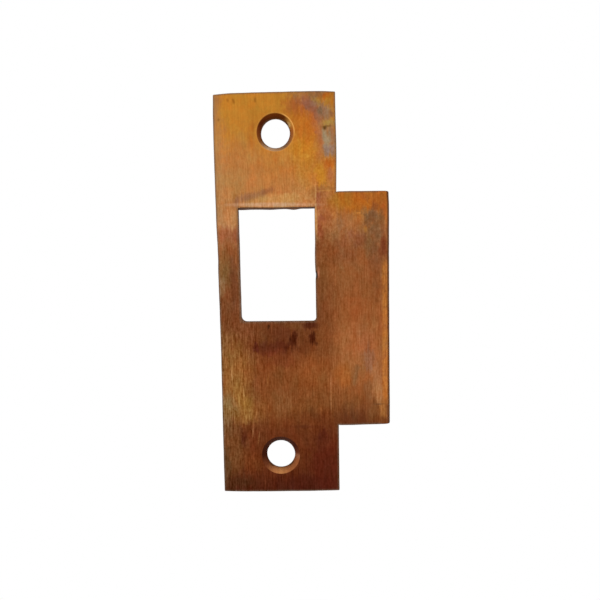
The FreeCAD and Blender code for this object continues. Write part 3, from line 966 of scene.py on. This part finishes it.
def lay_stain(tree, group, under, position, ragged, stain):
    """One stain over the colour under it."""
    node = put(tree, "ShaderNodeGroup", node_tree=group)
    lean = math.radians(stain.lean)
    settings = {
        "Under": under,
        "Colour": seen(*stain.colour),
        "Position": position,
        "Place": (stain.x, 0.0, stain.z),
        "Across": (math.cos(lean) / stain.across, 0.0, math.sin(lean) / stain.across),
        "Along": (-math.sin(lean) / stain.along, 0.0, math.cos(lean) / stain.along),
        "Ragged": ragged,
        "Edge": stain.edge,
        "Strength": stain.strength,
    }
    for name, value in settings.items():
        feed(tree, node.inputs[name], value)
    return node.outputs[0]


def drifted(tree, position, lines):
    """The position moved about a little, and dragged along the strip by the brushing, for the stains."""
    x, y, z = split(tree, position)
    moved_x = reckon(tree, "ADD", x, swing(tree, cloud(tree, position, DRIFT_ACROSS), ACROSS_REACH))
    moved_z = reckon(tree, "ADD", z, swing(tree, cloud(tree, position, DRIFT_ALONG), ALONG_REACH))
    dragged_z = reckon(tree, "ADD", moved_z, swing(tree, lines, DRAG_REACH))
    node = put(tree, "ShaderNodeCombineXYZ")
    for socket, value in zip(node.inputs, (moved_x, y, dragged_z)):
        feed(tree, socket, value)
    return node.outputs[0]


def front_tarnish_and_shade(tree, group, position, lines, mottle):
    """The face's colours: ochre at the top to maroon at the bottom, partly tarnish and partly painted
    shade, with the stains, a painted shade along the edges, and the marks, among them painted highlights.
    """
    loose = drifted(tree, position, lines)
    x, _, z = split(tree, loose)
    # Tarnish tones, which also carry a painted shade that darkens towards the bottom
    strip = tones(tree, z, STRIP_TONES)
    lip = tones(tree, z, LIP_TONES)
    colour = lay(tree, strip, lip, ease(tree, x, *LIP_TONES_X))
    ragged = swing(tree, mottle, STAIN_RAGGED)
    for stain in STAINS:
        colour = lay_stain(tree, group, colour, loose, ragged, stain)
    streaked = swing(tree, lines, SMUDGE_STREAKS)
    for smudge in SMUDGES:
        colour = lay_stain(tree, group, colour, position, streaked, smudge)
    # A painted shade, greyish brown, along the outer edges and the opening's edges
    rim = put(tree, "ShaderNodeAttribute", attribute_name=RIM).outputs["Fac"]
    edge_shade = ease(tree, rim, 0.0, 1.0, 0.0, EDGE_SHADE_SHARE)
    colour = lay(tree, colour, seen(*EDGE_SHADE_COLOUR), edge_shade)
    faint = swing(tree, mottle, MARK_RAGGED)
    for mark in MARKS:
        colour = lay_stain(tree, group, colour, position, faint, mark)
    return colour


def tinted(tree, colour, amount, weights):
    """A colour made lighter and paler, or darker and deeper, by an amount about 0."""
    parts = [reckon(tree, "MULTIPLY_ADD", amount, weight, 1.0) for weight in weights]
    tint = put(tree, "ShaderNodeCombineColor")
    for socket, part in zip(tint.inputs, parts):
        feed(tree, socket, part)
    return lay(tree, colour, tint.outputs[0], 1.0, "MULTIPLY")


def brush_lines(tree, position):
    """Fine lines along the strip, deepest low on the left, as a value about 0."""
    x, _, z = split(tree, position)
    fine = swing(tree, cloud(tree, position, FINE_LINES), FINE_SWING)
    finer = swing(tree, cloud(tree, position, FINER_LINES), FINER_SWING)
    specks = swing(tree, cloud(tree, position, SPECKS), SPECK_SWING)
    lean = put(tree, "ShaderNodeMapping")
    feed(tree, lean.inputs["Vector"], position)
    lean.inputs["Rotation"].default_value = (0.0, STROKE_LEAN, 0.0)
    strokes = ease(tree, cloud(tree, lean.outputs[0], STROKES), *STROKE_STEP)
    low_left = reckon(tree, "MULTIPLY", ease(tree, x, *LOW_LEFT_X), ease(tree, z, *LOW_LEFT_Z))
    depth = ease(tree, z, *DEPTHS_Z[0])
    for step in DEPTHS_Z[1:]:
        depth = reckon(tree, "ADD", depth, ease(tree, z, *step))
    depth = reckon(tree, "MULTIPLY_ADD", low_left, LOW_LEFT_DEPTH, depth)
    depth = reckon(tree, "MULTIPLY", depth, ease(tree, x, *LIP_DEPTH_X))
    blistered = reckon(tree, "MULTIPLY", ease(tree, x, *BLISTERED_X), ease(tree, z, *BLISTERED_Z))
    smooth = reckon(tree, "MULTIPLY_ADD", blistered, BLISTERED_LINES, 1.0)
    line_depth = reckon(tree, "MULTIPLY", depth, smooth)
    speck_depth = reckon(tree, "MULTIPLY_ADD", blistered, BLISTERED_SPECKS, depth)
    lines = reckon(tree, "MULTIPLY", reckon(tree, "ADD", fine, finer), line_depth)
    lines = reckon(tree, "MULTIPLY_ADD", specks, speck_depth, lines)
    rubbed = reckon(tree, "MULTIPLY", low_left, ease(tree, z, *RUBBED_Z))
    return reckon(tree, "MULTIPLY_ADD", strokes, rubbed, lines)


def lay_countersink(tree, colour, position, hole, stops, softness, rim_share):
    """The painted shade and highlights round a countersink: dark and bright by turn, darker at its bore,
    with a bright line of painted highlight on part of its mouth.
    """
    x, _, z = split(tree, position)
    right = reckon(tree, "SUBTRACT", x, hole.x)
    up = reckon(tree, "SUBTRACT", z, hole.z)
    squares = reckon(tree, "MULTIPLY_ADD", right, right, reckon(tree, "MULTIPLY", up, up))
    radius = reckon(tree, "SQRT", squares)
    turn = reckon(tree, "MULTIPLY", reckon(tree, "ARCTAN2", up, right), 1 / (2 * math.pi))
    inside = ease(tree, radius, hole.mouth + MOUTH_OUTSET, hole.mouth - softness)
    colour = lay(tree, colour, tones(tree, turn, stops), inside)
    far, near = (hole.bore + reach for reach in BORE_EDGE)
    colour = tinted(tree, colour, ease(tree, radius, far, near, 0.0, BORE_SHADE), BORE_TINT)
    round_arc = reckon(tree, "ABSOLUTE", reckon(tree, "SUBTRACT", turn, RIM_MIDDLE))
    arc = ease(tree, round_arc, RIM_REACH, RIM_REACH / 2, RIM_FAINTEST, 1.0)
    off_rim = reckon(tree, "ABSOLUTE", reckon(tree, "SUBTRACT", radius, hole.mouth))
    ring = ease(tree, off_rim, *RIM_WIDTH, 0.0, rim_share)
    return lay(tree, colour, seen(*MOUTH_HIGHLIGHT_COLOUR), reckon(tree, "MULTIPLY", arc, ring))


def aged_brass():
    """Brushed and tarnished brass: the stained front with painted shade towards the bottom and along its
    edges, the plainer back, the walls in painted shade, the leading edge with wear and a painted highlight,
    and the countersinks in painted shade and highlights.
    """
    material = bpy.data.materials.new("aged_brass")
    material.use_nodes = True
    tree = material.node_tree
    shader = tree.nodes["Principled BSDF"]
    coordinates = put(tree, "ShaderNodeTexCoord")
    position = stretch(tree, coordinates.outputs["Object"], (1 / MM, 1 / MM, 1 / MM))
    x, _, z = split(tree, position)
    facing = split(tree, coordinates.outputs["Normal"])[1]
    lines = cloud(tree, position, LINES)
    mottle = cloud(tree, position, MOTTLE)
    blush = cloud(tree, position, BLUSH)
    brushing = brush_lines(tree, position)

    group = make_stain_group()
    colour = front_tarnish_and_shade(tree, group, position, lines, mottle)
    # The leading edge's rounding: worn brighter metal, and a painted highlight where it faces the light
    # from the right
    leading = reckon(tree, "MULTIPLY", ease(tree, x, *LEADING_X), ease(tree, z, *LEADING_HEAD_Z))
    leading = reckon(tree, "MULTIPLY", leading, ease(tree, z, *LEADING_FOOT_Z))
    leading = reckon(tree, "MULTIPLY", leading, ease(tree, mottle, *LEADING_MOTTLE))
    colour = lay(tree, colour, seen(*LEADING_WEAR_AND_HIGHLIGHT_COLOUR), leading)
    rear_colour = lay(tree, seen(*DULL_BACK_COLOUR), seen(*BACK_COLOUR), ease(tree, blush, *BACK_BLUSH))
    colour = lay(tree, colour, rear_colour, ease(tree, facing, *BACK_FACING))
    for value, tint in ((lines, LINES_TINT), (mottle, MOTTLE_TINT), (blush, BLUSH_TINT)):
        colour = tinted(tree, colour, swing(tree, value, 1.0), tint)
    bloom = swing(tree, cloud(tree, position, BLOOM), 1.0)
    bloom = reckon(tree, "MULTIPLY", bloom, ease(tree, z, *BLOOM_Z))
    colour = tinted(tree, colour, bloom, BLOOM_TINT)
    colour = tinted(tree, colour, brushing, BRUSHING_TINT)
    # Painted shade on the walls and the lip's outer edges: dark brown, lighter in patches
    wall_low = ease(tree, x, *WALL_LOW_X)
    wall_high = ease(tree, x, *WALL_HIGH_X)
    wall = ease(tree, reckon(tree, "ABSOLUTE", facing), wall_low, wall_high)
    rubbed = ease(tree, mottle, *WALL_MOTTLE)
    wall_shade_colour = lay(tree, seen(*WALL_SHADE_COLOUR), seen(*RUBBED_WALL_SHADE_COLOUR), rubbed)
    colour = lay(tree, colour, wall_shade_colour, wall)
    # Painted shadow in the nick
    colour = lay_stain(tree, group, colour, position, 0.0, NICK_SHADOW)
    # Painted shade and highlights in the countersinks
    cone = ease(tree, facing, *CONE_FACING)
    upper_shading = (UPPER_SINK_SHADING, UPPER_SOFTNESS, UPPER_RIM_SHARE)
    sinks = lay_countersink(tree, colour, position, UPPER_HOLE, *upper_shading)
    sinks = lay_stain(tree, group, sinks, position, 0.0, SINK_GLINT)
    lower_shading = (LOWER_SINK_SHADING, LOWER_SOFTNESS, LOWER_RIM_SHARE)
    sinks = lay_countersink(tree, sinks, position, LOWER_HOLE, *lower_shading)
    colour = lay(tree, colour, tinted(tree, sinks, brushing, CONE_TINT), cone)

    feed(tree, shader.inputs["Base Color"], colour)
    bare = reckon(tree, "SUBTRACT", 1.0, reckon(tree, "MULTIPLY", wall, WALL_DULLNESS))
    feed(tree, shader.inputs["Metallic"], reckon(tree, "MULTIPLY", bare, METALLIC))
    shader.inputs["Specular IOR Level"].default_value = SPECULAR
    rough = reckon(tree, "MULTIPLY_ADD", brushing, BRUSHING_ROUGHNESS, ROUGHNESS)
    rough = reckon(tree, "MULTIPLY_ADD", mottle, MOTTLE_ROUGHNESS, rough)
    feed(tree, shader.inputs["Roughness"], rough)
    bump = put(tree, "ShaderNodeBump")
    bump.inputs["Strength"].default_value = BUMP_STRENGTH
    bump.inputs["Distance"].default_value = BUMP_HEIGHT * MM
    feed(tree, bump.inputs["Height"], brushing)
    feed(tree, shader.inputs["Normal"], bump.outputs[0])
    return material


# Studio

# Camera at the photograph's viewing angle
CAMERA_PLACE = Vector((7.11, -121.96, 2.78)) * MM
CAMERA_AIM = Vector((4.526, FRONT, -9.017)) * MM
CAMERA_ROLL = math.radians(-1.04)
CAMERA_LENS = 33.6
CAMERA_SENSOR = 36.0
CAMERA_SHIFT = 0.0667
CAMERA_NEAR = 0.01

# Soft lamps, in metres and watts, and the light from all round
Lamp = namedtuple("Lamp", "name place size power")
LAMPS = (
    Lamp("key_lamp", (-0.25, -0.5, 0.35), 0.4, 0.25),
    Lamp("right_lamp", (0.4, -0.3, 0.1), 0.3, 0.15),
)
AMBIENT = 0.8

# Floor, in metres, with a shadow that fades into white
WHITE = (1, 1, 1, 1)
FLOOR_COLOUR = (0.9, 0.9, 0.9, 1)
FLOOR_ROUGHNESS = 0.9
FLOOR_HEIGHT = -0.2
FLOOR_REACH = 3.0
SHADOW_FADE = (0.09, 0.3, 0.35, 1.0)


def seen_white(tree):
    """1 for what the camera sees, straight, in reflections or through glass, and 0 for other light."""
    path = put(tree, "ShaderNodeLightPath").outputs
    direct = reckon(tree, "MAXIMUM", path["Is Camera Ray"], path["Is Glossy Ray"])
    return reckon(tree, "MAXIMUM", direct, path["Is Transmission Ray"])


def light_studio():
    """A white surrounding that lights softly."""
    world = bpy.data.worlds.new("studio")
    world.use_nodes = True
    tree = world.node_tree
    background = tree.nodes["Background"]
    background.inputs["Color"].default_value = WHITE
    level = ease(tree, seen_white(tree), 0.0, 1.0, AMBIENT, 1.0)
    feed(tree, background.inputs["Strength"], level)
    bpy.context.scene.world = world


def pale_floor():
    """White far off, and matt below the plate, where its shadow falls."""
    material = bpy.data.materials.new("pale_floor")
    material.use_nodes = True
    tree = material.node_tree
    shader = tree.nodes["Principled BSDF"]
    shader.inputs["Base Color"].default_value = FLOOR_COLOUR
    shader.inputs["Roughness"].default_value = FLOOR_ROUGHNESS
    white = put(tree, "ShaderNodeEmission")
    white.inputs["Color"].default_value = WHITE
    position = put(tree, "ShaderNodeTexCoord").outputs["Object"]
    distance = put(tree, "ShaderNodeVectorMath", operation="LENGTH")
    feed(tree, distance.inputs[0], position)
    far = ease(tree, distance.outputs["Value"], *SHADOW_FADE)
    mix = put(tree, "ShaderNodeMixShader")
    feed(tree, mix.inputs[0], reckon(tree, "MULTIPLY", far, seen_white(tree)))
    feed(tree, mix.inputs[1], shader.outputs[0])
    feed(tree, mix.inputs[2], white.outputs[0])
    output = tree.nodes["Material Output"]
    feed(tree, output.inputs["Surface"], mix.outputs[0])
    return material


def lay_floor():
    """A wide floor below the plate, for show only."""
    mesh = bpy.data.meshes.new("floor")
    bm = bmesh.new()
    place = Matrix.Translation((0, 0, FLOOR_HEIGHT))
    bmesh.ops.create_grid(bm, x_segments=1, y_segments=1, size=FLOOR_REACH, matrix=place)
    bm.to_mesh(mesh)
    bm.free()
    floor = bpy.data.objects.new("floor", mesh)
    floor.data.materials.append(pale_floor())
    bpy.context.scene.collection.objects.link(floor)


def hang_lamp(lamp):
    """A square soft lamp that faces the plate."""
    hung = bpy.data.objects.new(lamp.name, bpy.data.lights.new(lamp.name, "AREA"))
    hung.data.shape = "SQUARE"
    hung.data.size = lamp.size
    hung.data.energy = lamp.power
    hung.location = lamp.place
    hung.rotation_mode = "QUATERNION"
    hung.rotation_quaternion = (-Vector(lamp.place)).to_track_quat("-Z", "Y")
    bpy.context.scene.collection.objects.link(hung)


def place_camera():
    """The camera, aimed a little below the plate's middle and rolled as the photograph is."""
    camera = bpy.data.objects.new("camera", bpy.data.cameras.new("camera"))
    camera.data.lens = CAMERA_LENS
    camera.data.sensor_width = CAMERA_SENSOR
    camera.data.shift_y = CAMERA_SHIFT
    camera.data.clip_start = CAMERA_NEAR
    camera.location = CAMERA_PLACE
    camera.rotation_mode = "QUATERNION"
    aim = (CAMERA_AIM - CAMERA_PLACE).to_track_quat("-Z", "Y")
    camera.rotation_quaternion = aim @ Quaternion((0, 0, 1), CAMERA_ROLL)
    bpy.context.scene.collection.objects.link(camera)
    bpy.context.scene.camera = camera


plate = make_plate()
plate.data.materials.append(aged_brass())
place_camera()
light_studio()
lay_floor()
for lamp in LAMPS:
    hang_lamp(lamp)
bpy.context.scene.view_settings.view_transform = "Standard"
